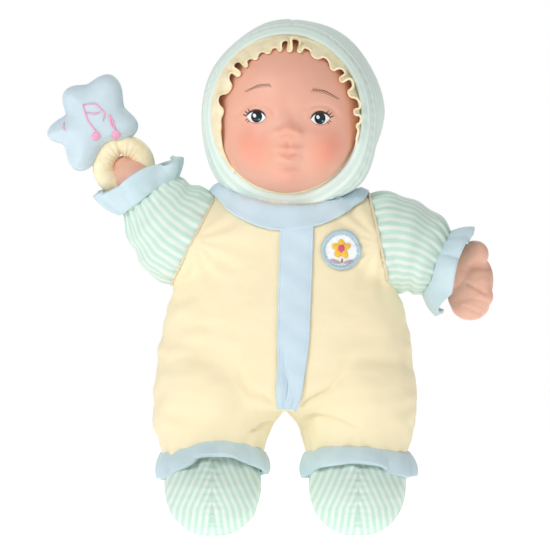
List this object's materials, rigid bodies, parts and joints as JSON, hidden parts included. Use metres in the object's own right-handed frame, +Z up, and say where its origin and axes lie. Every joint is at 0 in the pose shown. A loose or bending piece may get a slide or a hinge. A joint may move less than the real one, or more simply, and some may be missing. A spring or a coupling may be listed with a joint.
{
  "type": "interactive baby doll",
  "caption": "Soft-bodied baby doll with a vinyl face and hands, a hooded romper, a sound module in its torso and a plush star rattle.",
  "frame": {"origin": "middle of the bounding box in X and Y, at the soles' level, standing", "axes": "+Z up, the doll faces -Y, and its own left hand is towards +X"},
  "size_m": [0.2911, 0.1124, 0.3295],
  "materials": {
    "romper_fleece": "matte brushed fleece",
    "blue_fleece": "matte brushed fleece",
    "mint_stripe": "matte striped velour",
    "yellow_satin": "soft satin",
    "white_patch": "embroidered twill",
    "stuffing": "fibrefill",
    "tape": "hook and loop",
    "star_plush": "short plush",
    "vinyl_skin": "matte soft vinyl",
    "thread": "twisted thread",
    "case_plastic": "moulded",
    "button_plastic": "moulded",
    "knob_plastic": "moulded",
    "capsule_plastic": "moulded",
    "bead_plastic": "moulded",
    "steel": "plated",
    "board_green": "solder masked",
    "speaker_paper": "pressed paper",
    "lead_red": "insulated wire"
  },
  "bodies": {
    "torso": {"torso_front_left": "romper_fleece", "torso_front_right": "romper_fleece", "torso_back": "romper_fleece", "collar": "blue_fleece", "placket": "blue_fleece", "patch_disc": "white_patch", "patch_border": "blue_fleece", "torso_fill": "stuffing", "loop_tape": "tape", "module_front_case": "case_plastic", "module_rear_case": "case_plastic", "case_screws": "steel", "circuit_board": "board_green", "speaker_basket": "steel", "speaker_cone": "speaker_paper", "speaker_magnet": "steel", "button_cells": "steel", "battery_contacts": "steel", "wire_leads": "lead_red", "button_spring": "steel"},
    "press_button": {"press_button": "button_plastic"},
    "power_switch": {"switch_knob": "knob_plastic"},
    "battery_door": {"battery_door": "case_plastic"},
    "door_screw": {"door_screw": "steel"},
    "back_flap": {"back_flap": "romper_fleece", "hook_tape": "tape"},
    "neck": {"neck_seam": "thread"},
    "head": {"face_shell": "vinyl_skin", "hood_left": "mint_stripe", "hood_right": "mint_stripe", "hood_band": "mint_stripe", "face_ruffle": "yellow_satin", "head_fill": "stuffing"},
    "shoulder_right": {"shoulder_seam_right": "thread"},
    "shoulder_left": {"shoulder_seam_left": "thread"},
    "arm_right": {"sleeve_right": "mint_stripe", "arm_fill_right": "stuffing", "wrist_ruffle_right": "blue_fleece", "wrist_tie_right": "thread"},
    "arm_left": {"sleeve_left": "mint_stripe", "arm_fill_left": "stuffing", "wrist_ruffle_left": "blue_fleece", "wrist_tie_left": "thread"},
    "hand_right": {"hand_right": "vinyl_skin"},
    "hand_left": {"hand_left": "vinyl_skin"},
    "rattle": {"rattle_ring": "yellow_satin", "star_front": "star_plush", "star_back": "star_plush", "star_fill": "stuffing", "rattle_capsule": "capsule_plastic"},
    "rattle_beads": {"rattle_balls": "bead_plastic"},
    "leg_right": {"leg_cover_right": "romper_fleece", "leg_fill_right": "stuffing", "ankle_ruffle_right": "blue_fleece", "bootie_right": "mint_stripe"},
    "leg_left": {"leg_cover_left": "romper_fleece", "leg_fill_left": "stuffing", "ankle_ruffle_left": "blue_fleece", "bootie_left": "mint_stripe"}
  },
  "joints": [
    {"name": "head_turn", "type": "hinge", "parent": "torso", "child": "neck", "pos_m": [0.013, 0.00225, 0.2695], "axis": [0, 0, 1], "range_deg": [-45, 45]},
    {"name": "head_nod", "type": "hinge", "parent": "neck", "child": "head", "pos_m": [0.013, 0.00225, 0.2695], "axis": [1, 0, 0], "range_deg": [-15, 15]},
    {"name": "arm_swing_right", "type": "hinge", "parent": "torso", "child": "shoulder_right", "pos_m": [-0.05, 0.00225, 0.1875], "axis": [-0.891, 0, 0.454], "range_deg": [-60, 30]},
    {"name": "arm_lift_right", "type": "hinge", "parent": "shoulder_right", "child": "arm_right", "pos_m": [-0.05, 0.00225, 0.1875], "axis": [0, 1, 0], "range_deg": [-60, 10]},
    {"name": "hand_twist_right", "type": "hinge", "parent": "arm_right", "child": "hand_right", "pos_m": [-0.05, 0.00225, 0.1875], "axis": [-0.7071, 0, 0.7071], "range_deg": [-25, 25]},
    {"name": "arm_swing_left", "type": "hinge", "parent": "torso", "child": "shoulder_left", "pos_m": [0.068, 0.00225, 0.186], "axis": [0.9781, 0, 0.2079], "range_deg": [-60, 30]},
    {"name": "arm_lift_left", "type": "hinge", "parent": "shoulder_left", "child": "arm_left", "pos_m": [0.068, 0.00225, 0.186], "axis": [0, -1, 0], "range_deg": [-12, 60]},
    {"name": "hand_twist_left", "type": "hinge", "parent": "arm_left", "child": "hand_left", "pos_m": [0.068, 0.00225, 0.186], "axis": [0.9336, 0, -0.3584], "range_deg": [-25, 25]},
    {"name": "rattle_turn", "type": "hinge", "parent": "hand_right", "child": "rattle", "pos_m": [-0.09773, 0.00225, 0.23523], "axis": [0, 1, 0], "range_deg": [-25, 25]},
    {"name": "bead_slide", "type": "slide", "parent": "rattle", "child": "rattle_beads", "axis": [0, 0, 1], "range_m": [0, 0.006]},
    {"name": "hip_swing_right", "type": "hinge", "parent": "torso", "child": "leg_right", "pos_m": [-0.038, 0.00225, 0.088], "axis": [-1, 0, 0], "range_deg": [-15, 70]},
    {"name": "hip_swing_left", "type": "hinge", "parent": "torso", "child": "leg_left", "pos_m": [0.054, 0.00225, 0.088], "axis": [-1, 0, 0], "range_deg": [-15, 70]},
    {"name": "press_button_travel", "type": "slide", "parent": "torso", "child": "press_button", "axis": [0, 1, 0], "range_m": [0, 0.002], "stiffness_N_per_m": 400, "springref_m": -0.001, "deforming": ["button_spring"]},
    {"name": "power_switch_travel", "type": "slide", "parent": "torso", "child": "power_switch", "axis": [-1, 0, 0], "range_m": [0, 0.003]},
    {"name": "battery_door_lift", "type": "slide", "parent": "torso", "child": "battery_door", "axis": [0, 1, 0], "range_m": [0, 0.008]},
    {"name": "door_screw_turn", "type": "hinge", "parent": "battery_door", "child": "door_screw", "pos_m": [0.0194, 0.00225, 0.146], "axis": [0, 1, 0], "continuous": true},
    {"name": "back_flap_open", "type": "hinge", "parent": "torso", "child": "back_flap", "pos_m": [0.008, 0.04515, 0.1862], "axis": [1, 0, 0], "range_deg": [0, 110]}
  ]
}
